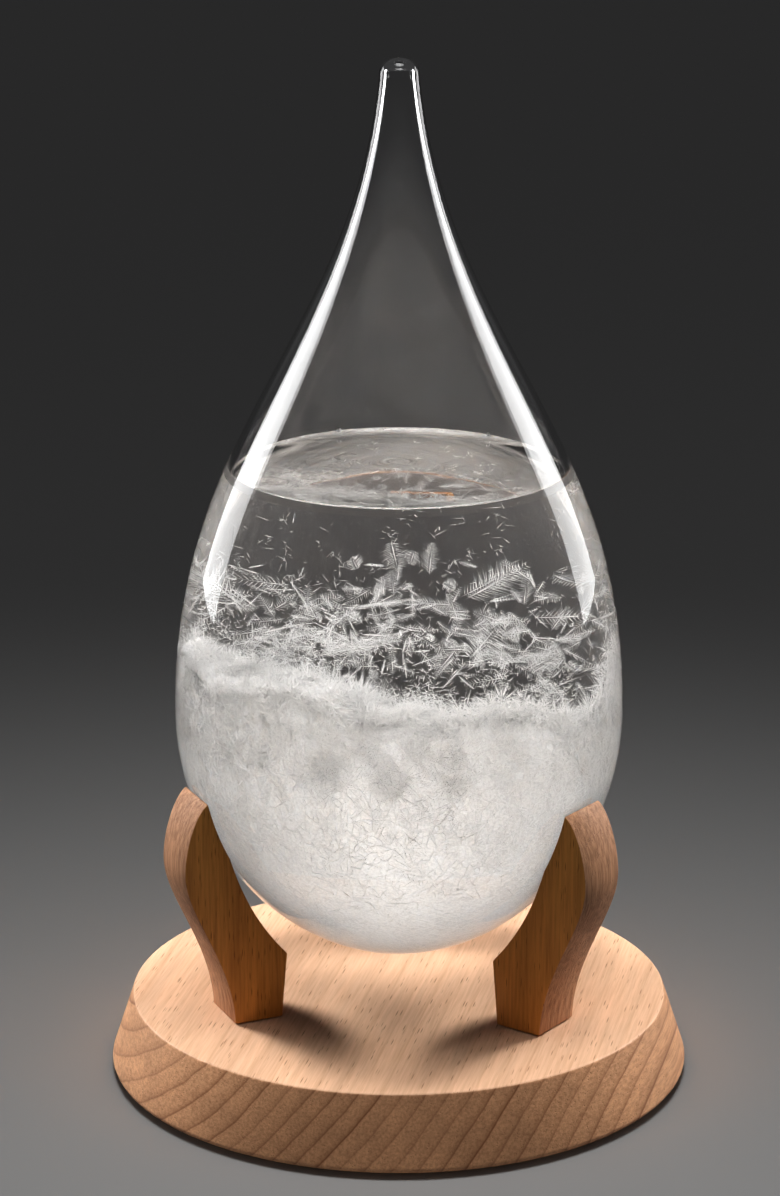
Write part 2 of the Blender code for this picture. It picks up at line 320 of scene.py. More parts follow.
def beech_group():
    """Growth rings, fibres and ray flecks of beech; the grain runs along Y of the board's own place."""
    tree, given, out = new_group(
        "beech_figure",
        [
            ("Place", "Vector", None),
            ("Wood", "Color", (0.6, 0.36, 0.2, 1)),
            ("Ring", "Color", (0.3, 0.15, 0.08, 1)),
            ("Fleck", "Color", (0.25, 0.12, 0.06, 1)),
            ("Pith X", "Float", -0.13),
            ("Pith Z", "Float", 0.11),
            ("Ring Spacing", "Float", 0.0045),
            ("Ring Strength", "Float", 0.6),
            ("Fibre Strength", "Float", 0.4),
            ("Fleck Strength", "Float", 0.6),
            ("Fleck Length", "Float", 0.004),
            ("Fleck Crowding", "Float", 900.0),
        ],
        [("Color", "Color"), ("Roughness", "Float"), ("Height", "Float")],
    )
    place = given["Place"]
    drift = stretched_noise(tree, place, (22, 4, 22), 1.0)
    ripple = stretched_noise(tree, place, (160, 14, 160), 2.0)
    split = add_node(tree, "SeparateXYZ", {0: place}).outputs
    across = maths(tree, "SUBTRACT", split["X"], given["Pith X"])
    above = maths(tree, "SUBTRACT", split["Z"], given["Pith Z"])
    squares = [times(tree, side, side) for side in (across, above)]
    radius = maths(tree, "SQRT", maths(tree, "ADD", *squares))
    radius = maths(tree, "ADD", radius, times(tree, drift, 0.007))
    radius = maths(tree, "ADD", radius, times(tree, ripple, 0.0009))
    turns = maths(tree, "DIVIDE", radius, given["Ring Spacing"])
    year = maths(tree, "FRACT", turns)
    late_wood_stops = [(0, 0.12), (0.12, 0.0), (0.62, 0.12), (0.86, 0.45), (0.95, 1.0), (1.0, 0.35)]
    late_wood = ramp(tree, year, late_wood_stops)
    ring_number = maths(tree, "FLOOR", turns)
    uneven = add_node(tree, "TexWhiteNoise", {"W": ring_number}, noise_dimensions="1D")
    uneven = uneven.outputs["Value"]
    uneven = scaled(tree, uneven, 0.7, 0.45)
    ring_amount = times(tree, late_wood, uneven)
    ring_amount = times(tree, ring_amount, given["Ring Strength"], True)
    fibres = stretched_noise(tree, place, (1500, 60, 1500), 3.0, 0.6)
    fibre_amount = ramp(tree, fibres, [(0.38, 0.0), (0.72, 1.0)])
    fibre_amount = times(tree, fibre_amount, given["Fibre Strength"])
    broad = stretched_noise(tree, place, (130, 9, 130), 3.0, 0.6)
    length = maths(tree, "DIVIDE", 1.0, given["Fleck Length"])
    crowding = given["Fleck Crowding"]
    cell = add_node(tree, "CombineXYZ", {0: crowding, 1: length, 2: crowding}).outputs[0]
    cells = add_node(tree, "VectorMath", {0: place, 1: cell}, operation="MULTIPLY").outputs[0]
    dashes = add_node(tree, "TexVoronoi", {"Vector": cells, "Scale": 1.0, "Randomness": 1.0})
    fleck = ramp(tree, dashes.outputs["Distance"], [(0.10, 1.0), (0.27, 0.0)])
    which = ramp(tree, dashes.outputs["Color"], [(0.35, 0.0), (0.65, 1.0)])
    fleck_amount = times(tree, fleck, which)
    fleck_amount = times(tree, fleck_amount, given["Fleck Strength"], True)
    colour = mixed(tree, ring_amount, given["Wood"], given["Ring"])
    colour = mixed(tree, fibre_amount, colour, given["Ring"])
    shade = ramp(tree, broad, [(0.3, 0.86), (0.7, 1.1)])
    colour = mixed(tree, 1.0, colour, shade, "MULTIPLY")
    colour = mixed(tree, fleck_amount, colour, given["Fleck"])
    tree.links.new(colour, out["Color"])
    tree.links.new(scaled(tree, fibres, 0.16, 0.46), out["Roughness"])
    halves = [times(tree, part, 0.5) for part in (fibres, fleck_amount)]
    tree.links.new(maths(tree, "SUBTRACT", *halves), out["Height"])
    return tree


BEECH = beech_group()


def new_material(name):
    material = bpy.data.materials.new(name)
    material.use_nodes = True
    tree = material.node_tree
    shader = tree.nodes["Principled BSDF"]
    return material, tree, shader


def wood(name, bump, values, turn=None):
    """Beech with its own colours and figure, laid by board_place, or by the piece's axes if turned."""
    material, tree, shader = new_material(name)
    if turn is None:
        place = add_node(tree, "Attribute", attribute_name="board_place").outputs["Vector"]
    else:
        texture = add_node(tree, "TexCoord").outputs["Object"]
        place = add_node(tree, "Mapping", {"Vector": texture, "Rotation": turn}).outputs[0]
    figure = add_node(tree, "Group", node_tree=BEECH)
    set_inputs(figure, {"Place": place, **values})
    made = figure.outputs
    set_inputs(shader, {"Base Color": made["Color"], "Roughness": made["Roughness"]})
    add_relief(tree, shader, made["Height"], bump, 0.0004)
    shader.inputs["Specular IOR Level"].default_value = 0.22
    return material


def clear_material(name, ior, tint=(1, 1, 1)):
    """Clear glass or liquid, which lets the studio lights through to what is inside."""
    material, tree, shader = new_material(name)
    # A tint below white darkens what is seen through, but not the light that passes: painted shade.
    set_inputs(shader, {"Base Color": (*tint, 1), "Roughness": 0.0, "IOR": ior})
    set_inputs(shader, {"Metallic": 0.0, "Transmission Weight": 1.0})
    through = add_node(tree, "BsdfTransparent")
    light = add_node(tree, "LightPath").outputs["Is Shadow Ray"]
    mix_surface(tree, light, shader, through)
    return material


def zinc_plate(name):
    """Zinc-plated steel: small spangles of lighter and darker metal, and fine scuffs."""
    material, tree, shader = new_material(name)
    place = add_node(tree, "TexCoord").outputs["Object"]
    spangle = add_node(tree, "TexVoronoi", {"Vector": place, "Scale": 2200.0}).outputs["Color"]
    scuff = stretched_noise(tree, place, (3000, 500, 3000), 4.0, 0.65)
    tone = ramp(tree, spangle, [(0.2, (0.50, 0.50, 0.49)), (0.8, (0.68, 0.68, 0.66))])
    tone = mixed(tree, ramp(tree, scuff, [(0.45, 0.0), (0.75, 0.7)]), tone, (0.32, 0.31, 0.29, 1))
    rough = ramp(tree, scuff, [(0.3, 0.28), (0.8, 0.55)])
    set_inputs(shader, {"Base Color": tone, "Roughness": rough, "Metallic": 1.0})
    add_relief(tree, shader, scuff, 0.2, 0.0001)
    return material


def felt(name):
    """Pressed felt: tangled short fibres over a soft, slightly mottled body."""
    material, tree, shader = new_material(name)
    place = add_node(tree, "TexCoord").outputs["Object"]
    warp = stretched_noise(tree, place, (700, 700, 700), 2.0)
    fibres = stretched_noise(tree, place, (5200, 900, 2600), 4.0, 0.7)
    crossing = stretched_noise(tree, place, (900, 5200, 2600), 4.0, 0.7)
    tangle = maths(tree, "MAXIMUM", fibres, crossing)
    greys = [(0.40, (0.035, 0.033, 0.031)), (0.62, (0.085, 0.080, 0.076)), (0.8, (0.17, 0.16, 0.15))]
    tone = ramp(tree, tangle, greys)
    tone = mixed(tree, 1.0, tone, ramp(tree, warp, [(0.3, 0.75), (0.7, 1.15)]), "MULTIPLY")
    set_inputs(shader, {"Base Color": tone, "Roughness": ramp(tree, tangle, [(0.3, 0.98), (0.8, 0.82)])})
    set_inputs(shader, {"Sheen Weight": 0.35, "Specular IOR Level": 0.15})
    add_relief(tree, shader, tangle, 0.8, 0.0003)
    return material


def dress(prefix, material):
    """Gives the CAD pieces that stay in view their finished material."""
    for name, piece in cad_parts.items():
        if name.startswith(prefix):
            piece.material_slots[0].material = material


def mark_board(piece, matrix):
    """Stores each vertex's place in the board that the piece was cut from."""
    attribute = piece.data.attributes.new("board_place", "FLOAT_VECTOR", "POINT")
    places = np.array([matrix @ vert.co for vert in piece.data.vertices], np.float32)
    attribute.data.foreach_set("vector", places.ravel())


# ---------------- the stand
def make_base(flat, rim):
    ease = 0.0008
    foot_ease = 0.0012
    slope = math.degrees(math.atan2(BASE_TOP - BASE_BOTTOM, BASE_RADIUS - BASE_TOP_RADIUS))
    top_ease = arc_points((BASE_TOP_RADIUS - ease, BASE_TOP - ease), ease, 90, 90 - slope, 5)
    low_ease = arc_points((BASE_RADIUS - foot_ease, BASE_BOTTOM + foot_ease), foot_ease, 90 - slope, -90, 7)
    outline = [(0, BASE_TOP), (BASE_TOP_RADIUS * 0.5, BASE_TOP)]
    outline += top_ease + low_ease
    outline += [(BASE_RADIUS * 0.5, BASE_BOTTOM), (0, BASE_BOTTOM)]
    base = turned("turned_base", outline, 256)
    for side in LEG_AZIMUTHS:
        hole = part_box("leg_screw_" + side)
        centre = (hole[0] + hole[1]) / 2
        head_radius = (hole[1].x - hole[0].x) / 2
        bpy.ops.object.select_all(action="DESELECT")
        bpy.ops.mesh.primitive_cylinder_add(
            vertices=48, radius=head_radius + GAP, depth=0.01, location=(centre.x, centre.y, BASE_BOTTOM)
        )
        cutter = bpy.context.object
        apply_modifier(base, "BOOLEAN", operation="DIFFERENCE", object=cutter, solver="EXACT")
        bpy.data.objects.remove(cutter)
    mark_board(base, Matrix.Rotation(math.radians(12), 4, "Z"))
    paint(base, flat, rim)
    # The sides take the rim beech: their own side figure, made darker and redder as painted shade.
    for face in base.data.polygons:
        face.material_index = 0 if abs(face.normal.z) > 0.8 else 1
    smooth_over(base, 35)
    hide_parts("stand_base")
    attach(base, "stand")


def leg_outline():
    """(radius, height) round a leg's side view, from the tip down the back and up the glass side."""
    tip_height = BASE_TOP + LEG_HEIGHT
    seat_height = tip_height - LEG_SEAT_DROP
    bulge_height = BASE_TOP + LEG_BULGE_HEIGHT
    leg_bottom = BASE_TOP + GAP
    bulge_radius = radius_at(OUTSIDE, bulge_height) + GAP + LEG_DEPTH
    back_radius = bulge_radius - LEG_TAIL
    front_radius = back_radius - FOOT_DEPTH
    seat_steps = 12
    seat = []
    for step in range(seat_steps + 1):
        height = seat_height + (tip_height - seat_height) * step / seat_steps
        seat.append(Vector((radius_at(OUTSIDE, height) + GAP, height)))
    tip = seat[-1]
    drop = tip_height - bulge_height
    back = curve_points(
        tip,
        tip + Vector((0.5 * (bulge_radius - tip.x), -0.1 * drop)),
        (bulge_radius, bulge_height + 0.4 * drop),
        (bulge_radius, bulge_height),
        18,
    )
    tail = curve_points(
        (bulge_radius, bulge_height),
        (bulge_radius, bulge_height - 0.254 * LEG_BULGE_HEIGHT),
        (back_radius + 0.04 * LEG_TAIL, leg_bottom + 0.41 * LEG_BULGE_HEIGHT),
        (back_radius, leg_bottom),
        24,
    )
    corner = Vector((front_radius - FOOT_LEAN, BASE_TOP + FOOT_HEIGHT))
    rise = seat_height - corner.y
    reach = seat[0].x - corner.x
    front = curve_points(
        corner,
        (corner.x + 0.63 * reach, corner.y + 0.385 * rise),
        (seat[0].x - 0.15 * reach, seat_height - 0.26 * rise),
        seat[0],
        18,
    )
    return back + tail[1:] + [Vector((front_radius, leg_bottom))] + front + seat[1:-1]


def make_leg(side, azimuth, broad, sawn):
    half = LEG_THICKNESS / 2
    leg = start_piece("claw_leg_" + side + "_beech")
    outline = [(point.x, -half, point.y) for point in leg_outline()]
    draw_outline(outline)
    bpy.ops.mesh.select_all(action="SELECT")
    bpy.ops.mesh.edge_face_add()
    bpy.ops.mesh.extrude_region_move(TRANSFORM_OT_translate={"value": (0, LEG_THICKNESS, 0)})
    finish_edit()
    apply_modifier(leg, "BEVEL", width=0.0004, segments=2, limit_method="ANGLE", angle_limit=math.radians(40))
    mark_board(leg, Matrix(((0, 1, 0, 0), (0, 0, 1, 0), (1, 0, 0, 0), (0, 0, 0, 1))))
    paint(leg, broad, sawn)
    # The broad faces take a deep orange beech: its grain, with painted shade and warm bounce light.
    for face in leg.data.polygons:
        face.material_index = 0 if abs(face.normal.y) > 0.7 else 1
    leg.data.transform(Matrix.Rotation(math.radians(azimuth), 4, "Z"))
    smooth_over(leg, 30)
    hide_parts("claw_leg_" + side)
    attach(leg, "stand")


# ---------------- the drop
def wet_line():
    """(radius, height) where the solution's curved edge meets the inside of the glass."""
    height = LIQUID_LEVEL + MENISCUS_RISE
    return Vector((radius_at(INSIDE, height), height))


def make_glass(dry, wetted):
    top = BULB_BOTTOM + BULB_HEIGHT
    crown = []
    for point in arc_points((0, 0), 1.0, 90, 6, 16):
        crown.append((TIP_RADIUS * point.x**0.85, top - SEAL_HEIGHT * 1.2 * (1 - point.y)))
    outer = turned("drop_glass", crown + [tuple(point) for point in OUTSIDE], GLASS_SIDES)
    bore_top = top - 1.1 * WALL
    bore_radius = TIP_RADIUS - WALL
    ceiling = []
    for point in arc_points((0, 0), 1.0, 90, 0, 8):
        ceiling.append((bore_radius * point.x**0.8, bore_top - bore_radius * 0.5 * (1 - point.y)))
    edge = wet_line()
    above = [tuple(point) for point in INSIDE if point.y > edge.y + 0.0002]
    below = [tuple(point) for point in INSIDE if point.y < edge.y - 0.0002]
    inner = turned("drop_cavity", ceiling + above + [tuple(edge)] + below, GLASS_SIDES, inside=True)
    drop = join(outer, inner)
    paint(drop, dry, wetted)
    for face in drop.data.polygons:
        outward = face.normal.x * face.center.x + face.normal.y * face.center.y
        low = face.center.z < edge.y
        facing_in = outward < 0 or (face.normal.z > 0.5 and face.center.z < BULB_BOTTOM + 2 * WALL)
        face.material_index = 1 if low and facing_in else 0
    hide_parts("glass_bulb", "tip_seal")
    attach(drop, "glass")


def make_solution(surface_material, side_material):
    """The solution, up to its level, with an edge that climbs the glass a little."""
    gap = 0.00004
    wall = moved_in(OUTSIDE, WALL + gap)
    edge = wet_line()
    edge_radius = edge.x - gap
    surface = [(0, LIQUID_LEVEL), (edge_radius - 3 * MENISCUS_WIDTH, LIQUID_LEVEL)]
    for step in range(1, 15):
        share = step / 14
        rise = MENISCUS_RISE * (math.exp(5 * (share - 1)) - math.exp(-5) * (1 - share))
        surface.append((edge_radius - 2 * MENISCUS_WIDTH * (1 - share), LIQUID_LEVEL + rise))
    side = [tuple(point) for point in wall if point.y < edge.y - 0.0002]
    solution = turned("camphor_solution", surface + side, GLASS_SIDES, smooth=50)
    paint(solution, surface_material, side_material)
    for face in solution.data.polygons:
        face.material_index = 0 if face.center.z > LIQUID_LEVEL - 1e-6 and face.normal.z > 0.05 else 1
    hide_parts("storm_liquid")
    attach(solution, "glass")


BUBBLES = ((113, 0.00062), (55, 0.00050))  # degrees round the rim, and radius


def make_bubbles(material):
    """Two small bubbles that cling where the solution meets the glass."""
    edge = wet_line()
    bubbles = []
    for azimuth, radius in BUBBLES:
        film = 0.12 * radius
        outline = arc_points((0, 0), radius, 90, -90, 14) + arc_points((0, 0), radius - film, -90, 90, 14)
        bubble = turned("rim_bubble", [(max(point.x, 0), point.y) for point in outline], 28)
        away = edge.x - 1.25 * radius
        turn = math.radians(azimuth)
        spot = (away * math.cos(turn), away * math.sin(turn), edge.y + 0.35 * radius)
        bubble.data.transform(Matrix.Translation(spot))
        bubbles.append(bubble)
    bubble = join(*bubbles)
    bubble.name = bubble.data.name = "rim_bubbles"
    paint(bubble, material)
    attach(bubble, "glass")


# ---------------- the crystals
HEAPS = (  # x, y, reach and height of each heap or hollow on the settled crystals
    (-0.044, -0.006, 0.015, 0.014),
    (-0.016, 0.000, 0.016, 0.006),
    (0.050, -0.008, 0.012, 0.016),
    (0.027, 0.016, 0.021, -0.022),
    (0.006, 0.036, 0.028, -0.027),
    (-0.022, -0.036, 0.027, 0.016),
    (0.024, -0.047, 0.022, 0.010),
    (-0.036, 0.034, 0.012, 0.006),
)
HEAP_LEVEL = BASE_BOTTOM + 0.0955
HEAP_SIDES = 320
HEAP_TOP_STEPS = 80
LUMPS, GRAINS, FLUFF = 120.0, 420.0, 1000.0  # features in a metre, coarse to fine
SHOULDER_RADIUS = 0.053
TOP_TUFTS = 520
SHOULDER_TUFTS = 420
WALL_NEEDLES = 24000
LOOSE_CRYSTALS = 90000
LOOSE_DEPTH = 0.024  # how far over the heap the loose crystals reach
SPLINTER_GROUPS = 260
SPLINTER_REACH = 0.046
MOST_NEEDLES = 33000  # in one piece


def heap_height(x, y):
    """Height of the settled crystals over the floor."""
    level = HEAP_LEVEL + 0 * x
    for heap_x, heap_y, reach, height in HEAPS:
        away = ((x - heap_x) ** 2 + (y - heap_y) ** 2) / reach**2
        level = level + height * np.exp(-away)
    return level


def inner_radius(heights):
    return radii_at(INSIDE, heights)


def rough_sum(points, scale, seed=0.0):
    """Signed noise at each point, about -1 to 1, with features 1 / scale metres long."""
    shift = Vector((seed, -seed, 2 * seed))
    return np.array([noise.fractal(Vector(point) * scale + shift, 1.0, 2.0, 3) for point in points])


def make_heap(material):
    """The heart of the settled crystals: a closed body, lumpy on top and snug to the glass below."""
    edge = inner_radius(HEAP_LEVEL)
    outline = [(edge * step / HEAP_TOP_STEPS, HEAP_LEVEL) for step in range(HEAP_TOP_STEPS + 1)]
    outline += [tuple(point) for point in INSIDE if point.y < HEAP_LEVEL - 0.0004]
    heap = turned("crystal_heap", outline, HEAP_SIDES, smooth=180)
    places = np.array([vert.co for vert in heap.data.vertices])
    flat = np.hypot(places[:, 0], places[:, 1])
    on_top = places[:, 2] > HEAP_LEVEL - 1e-5
    local = heap_height(places[:, 0], places[:, 1])
    depth = (HEAP_LEVEL - places[:, 2]) / (HEAP_LEVEL - BULB_BOTTOM)
    places[:, 2] = places[:, 2] + (local - HEAP_LEVEL) * (1 - depth) ** 2
    lumps = rough_sum(places, LUMPS)
    grains = rough_sum(places, GRAINS, 7.0)
    fluff = rough_sum(places, FLUFF, 9.0)
    bumpy = 0.0020 * lumps + 0.0012 * grains + 0.0010 * fluff - 0.003
    rise = np.where(on_top, bumpy, 0.0)
    places[:, 2] += rise * np.clip((inner_radius(places[:, 2]) - flat) / 0.004, 0.3, 1)
    upper = np.clip((places[:, 2] - BULB_BOTTOM - 0.020) / 0.045, 0, 1)
    loosened = 0.0036 + 0.0016 * lumps + 0.0010 * grains + 0.0009 * fluff
    inset = 0.0012 + 0.0003 * fluff + upper * loosened
    limit = inner_radius(places[:, 2]) - np.maximum(inset, 0.0005)
    pull = np.minimum(1.0, limit / np.maximum(flat, 1e-6))
    places[:, 0] *= pull
    places[:, 1] *= pull
    pole = BULB_BOTTOM + WALL + 0.0006
    places[:, 2] = np.maximum(places[:, 2], pole)
    heap.data.vertices.foreach_set("co", places.astype(np.float32).ravel())
    heap.data.update()
    paint(heap, material)
    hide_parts("crystal_bed")
    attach(heap, "glass")
    return heap


def make_needle():
    """One crystal needle along +X from the origin, one long, pointed at both ends."""
    bpy.ops.object.select_all(action="DESELECT")
    bpy.ops.mesh.primitive_cone_add(vertices=3, radius1=0.5, radius2=0, depth=0.75, location=(0, 0, 0.375))
    needle = bpy.context.object
    mode("EDIT")
    bpy.ops.mesh.select_all(action="DESELECT")
    bpy.ops.mesh.select_mode(type="FACE")
    mode("OBJECT")
    for face in needle.data.polygons:
        face.select = face.normal.z < -0.9
    mode("EDIT")
    bpy.ops.mesh.poke()
    mode("OBJECT")
    for vert in needle.data.vertices:
        if Vector((vert.co.x, vert.co.y, 0)).length < 0.01 and vert.co.z < -0.3:
            vert.co.z = -0.625
    needle.data.transform(Matrix.Translation((0, 0, 0.625)))
    needle.data.transform(Matrix.Rotation(math.radians(90), 4, "Y"))
    return needle


def mesh_arrays(piece):
    places = np.array([vert.co for vert in piece.data.vertices])
    faces = [tuple(face.vertices) for face in piece.data.polygons]
    return places, faces


def scattered(name, template, frames, material):
    """One piece from many copies of a template; each frame is 3 x 4, its last column the place.

    Copies that would not fit inside the glass are left out.
    """
    frames = kept_inside(frames)[:MOST_NEEDLES]
    places, faces = template
    copies = np.einsum("nij,vj->nvi", frames[:, :, :3], places) + frames[:, None, :, 3]
    count = len(places)
    mesh = bpy.data.meshes.new(name)
    starts = np.arange(len(frames)) * count
    corners = np.array(faces)
    all_faces = (starts[:, None, None] + corners[None]).reshape(-1, corners.shape[1])
    mesh.vertices.add(len(frames) * count)
    mesh.vertices.foreach_set("co", copies.astype(np.float32).ravel())
    mesh.loops.add(all_faces.size)
    mesh.loops.foreach_set("vertex_index", all_faces.ravel().astype(np.int32))
    mesh.polygons.add(len(all_faces))
    mesh.polygons.foreach_set("loop_start", np.arange(0, all_faces.size, corners.shape[1], dtype=np.int32))
    mesh.update(calc_edges=True)
    piece = bpy.data.objects.new(name, mesh)
    bpy.context.scene.collection.objects.link(piece)
    paint(piece, material)
    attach(piece, "glass")
    return piece


def unit(vectors):
    return vectors / np.maximum(np.linalg.norm(vectors, axis=-1, keepdims=True), 1e-9)


def frames_along(places, ways, lengths, widths, draw, flats=None):
    """Frames that put a template's X along each way, with a random or given flat side."""
    ways = unit(ways)
    other = unit(draw.normal(size=ways.shape)) if flats is None else flats
    side = unit(np.cross(ways, other))
    up = np.cross(ways, side)
    frames = np.empty((len(places), 3, 4))
    frames[:, :, 0] = ways * lengths[:, None]
    frames[:, :, 1] = side * widths[:, None]
    frames[:, :, 2] = up * widths[:, None]
    frames[:, :, 3] = places
    return frames


def kept_inside(frames, reach=1.0, margin=0.0004):
    """Drops the frames whose ends would touch the glass or break the liquid's surface."""
    starts = frames[:, :, 3]
    ends = starts + reach * frames[:, :, 0]
    good = np.ones(len(frames), bool)
    for spot in (starts, (starts + ends) / 2, ends):
        flat = np.hypot(spot[:, 0], spot[:, 1])
        good &= flat < inner_radius(spot[:, 2]) - margin
        good &= spot[:, 2] < LIQUID_LEVEL - 0.001
        good &= spot[:, 2] > BULB_BOTTOM + WALL + margin
    return frames[good]


def tuft_frames(centre, count, size, lift, draw):
    """Needles that fan out of one spot, a little more upwards than down."""
    ways = unit(draw.normal(size=(count, 3)) + np.array([0, 0, lift]))
    lengths = size * draw.uniform(0.5, 1.25, count)
    widths = draw.uniform(0.00009, 0.00022, count)
    places = centre + ways * draw.uniform(0.0, 0.3, (count, 1)) * size
    return frames_along(places, ways, lengths, widths, draw)


def make_tufts(needle, material):
    """Tufts of needles that grow out of the heap's top, like snow."""
    draw = np.random.default_rng(21)
    outer = inner_radius(HEAP_LEVEL) - 0.003
    frames = []
    for _ in range(TOP_TUFTS):
        turn = draw.uniform(0, math.tau)
        radius = outer * math.sqrt(draw.uniform(0.02, 1.0))
        x = radius * math.cos(turn)
        y = radius * math.sin(turn)
        top = float(heap_height(np.array(x), np.array(y)))
        centre = np.array([x, y, top - draw.uniform(0.0015, 0.0045)])
        count = int(draw.integers(40, 90))
        frames.append(tuft_frames(centre, count, draw.uniform(0.0026, 0.0060), 0.35, draw))
    return scattered("crystal_tufts", needle, np.concatenate(frames), material)


def make_rim_tufts(needle, material):
    """Tufts that fill the heap's shoulder, between its packed heart and the glass."""
    draw = np.random.default_rng(27)
    frames = []
    for _ in range(SHOULDER_TUFTS):
        turn = draw.uniform(0, math.tau)
        wall_x = SHOULDER_RADIUS * math.cos(turn)
        wall_y = SHOULDER_RADIUS * math.sin(turn)
        top = float(heap_height(np.array(wall_x), np.array(wall_y)))
        height = top + 0.002 - 0.020 * draw.uniform(0, 1) ** 1.4
        radius = float(inner_radius(height)) - draw.uniform(0.0020, 0.0060)
        centre = np.array([radius * math.cos(turn), radius * math.sin(turn), height])
        count = int(draw.integers(35, 75))
        frames.append(tuft_frames(centre, count, draw.uniform(0.0022, 0.0055), 0.15, draw))
    return scattered("crystal_shoulder", needle, np.concatenate(frames), material)


def make_wall_needles(needle, material):
    """Needles that lie along the glass, thick on the upper part of the heap and sparse below."""
    draw = np.random.default_rng(22)
    count = WALL_NEEDLES
    turn = draw.uniform(0, math.tau, count)
    low = BULB_BOTTOM + 0.010
    share = draw.uniform(0, 1, count) ** 0.7
    wall_x = inner_radius(HEAP_LEVEL) * np.cos(turn)
    wall_y = inner_radius(HEAP_LEVEL) * np.sin(turn)
    high = heap_height(wall_x, wall_y) + 0.002
    height = low + (high - low) * share
    depth = 0.0005 + 0.0024 * draw.uniform(0, 1, count) ** 1.3
    radius = inner_radius(height) - depth
    places = np.stack([radius * np.cos(turn), radius * np.sin(turn), height], 1)
    out = np.stack([np.cos(turn), np.sin(turn), 0 * turn], 1)
    ways = draw.normal(size=(count, 3))
    ways -= out * (ways * out).sum(1, keepdims=True) * 0.75
    lengths = draw.uniform(0.0016, 0.0065, count)
    widths = draw.uniform(0.00009, 0.00025, count)
    frames = frames_along(places, ways, lengths, widths, draw)
    return scattered("crystal_needles", needle, frames, material)


def make_loose_crystals(needle, material):
    """Short crystals, loosely packed above the heap, with dark pockets of clear solution between them."""
    draw = np.random.default_rng(23)
    count = LOOSE_CRYSTALS
    turn = draw.uniform(0, math.tau, count)
    radius = (inner_radius(HEAP_LEVEL) - 0.001) * np.sqrt(draw.uniform(0, 1, count))
    x = radius * np.cos(turn)
    y = radius * np.sin(turn)
    over = -0.003 + LOOSE_DEPTH * draw.uniform(0, 1, count) ** 1.5
    z = heap_height(x, y) + over
    places = np.stack([x, y, z], 1)
    crowd = rough_sum(places, 115.0, 3.0) + 0.4 * rough_sum(places, 380.0, 5.0)
    keep = crowd > 0.27 + 24.0 * over
    places = places[keep]
    count = len(places)  # fewer than were drawn
    ways = draw.normal(size=(count, 3)) * np.array([1.0, 1.0, 0.7])
    lengths = draw.uniform(0.0006, 0.0026, count)
    widths = draw.uniform(0.00007, 0.00022, count)
    frames = frames_along(places, ways, lengths, widths, draw)
    return scattered("loose_crystals", needle, frames, material)


def fern_frames(place, way, flat, length, spread, barbs, draw, angle=60.0):
    """A flat crystal feather: a spine, and parallel barbs that slant off it on both sides."""
    way = unit(np.array(way, float))
    flat = unit(np.array(flat, float) - way * np.dot(flat, way))
    steps = np.linspace(0.08, 0.96, barbs)
    places = [np.array(place, float)[None]]
    ways = [way[None]]
    lengths = [np.array([length])]
    slant = math.radians(angle)
    for side in (-1, 1):
        direction = math.cos(slant) * way + side * math.sin(slant) * flat
        wobble = draw.normal(size=(barbs, 3)) * 0.05
        shape = np.sin(np.pi * np.clip(steps, 0.05, 1) ** 0.8) ** 0.7
        places.append(np.array(place) + way * length * steps[:, None])
        ways.append(direction + wobble)
        lengths.append(spread * shape * draw.uniform(0.6, 1.1, barbs) + 0.0002)
    places = np.concatenate(places)
    ways = np.concatenate(ways)
    lengths = np.concatenate(lengths)
    widths = np.full(len(places), 0.00011) * draw.uniform(0.7, 1.3, len(places))
    widths[0] = 0.00022
    return frames_along(places, ways, lengths, widths, draw)


DRIFTS = (  # x, y, height over the base, reach across, reach up, ferns: where the drifting ferns gather
    (-0.018, -0.012, 0.112, 0.014, 0.007, 70),
    (-0.006, -0.018, 0.118, 0.009, 0.005, 34),
    (0.012, -0.016, 0.114, 0.011, 0.006, 46),
    (0.030, -0.008, 0.108, 0.011, 0.010, 60),
    (-0.036, -0.006, 0.122, 0.007, 0.004, 14),
    (0.000, 0.022, 0.110, 0.022, 0.010, 60),
    (-0.020, 0.024, 0.106, 0.014, 0.010, 40),
    (0.026, 0.022, 0.102, 0.014, 0.012, 50),
)


def make_drifting_ferns(needle, material):
    """Feathers of crystal that hang in the clear solution above the heap."""
    draw = np.random.default_rng(24)
    frames = []
    for x, y, over, across, up, count in DRIFTS:
        for _ in range(count):
            middle = np.array([x, y, BASE_BOTTOM + over])
            place = middle + draw.normal(size=3) * (across, across, up) * 0.6
            way = draw.normal(size=3) * (1.0, 0.7, 0.6)
            flat = draw.normal(size=3) * (1.0, 0.3, 1.0)
            length = draw.uniform(0.002, 0.008)
            spread = length * draw.uniform(0.15, 0.4)
            barbs = int(3 + length * draw.uniform(1400, 2200))
            frames.append(fern_frames(place, way, flat, length, spread, barbs, draw))
    return scattered("drifting_ferns", needle, np.concatenate(frames), material)


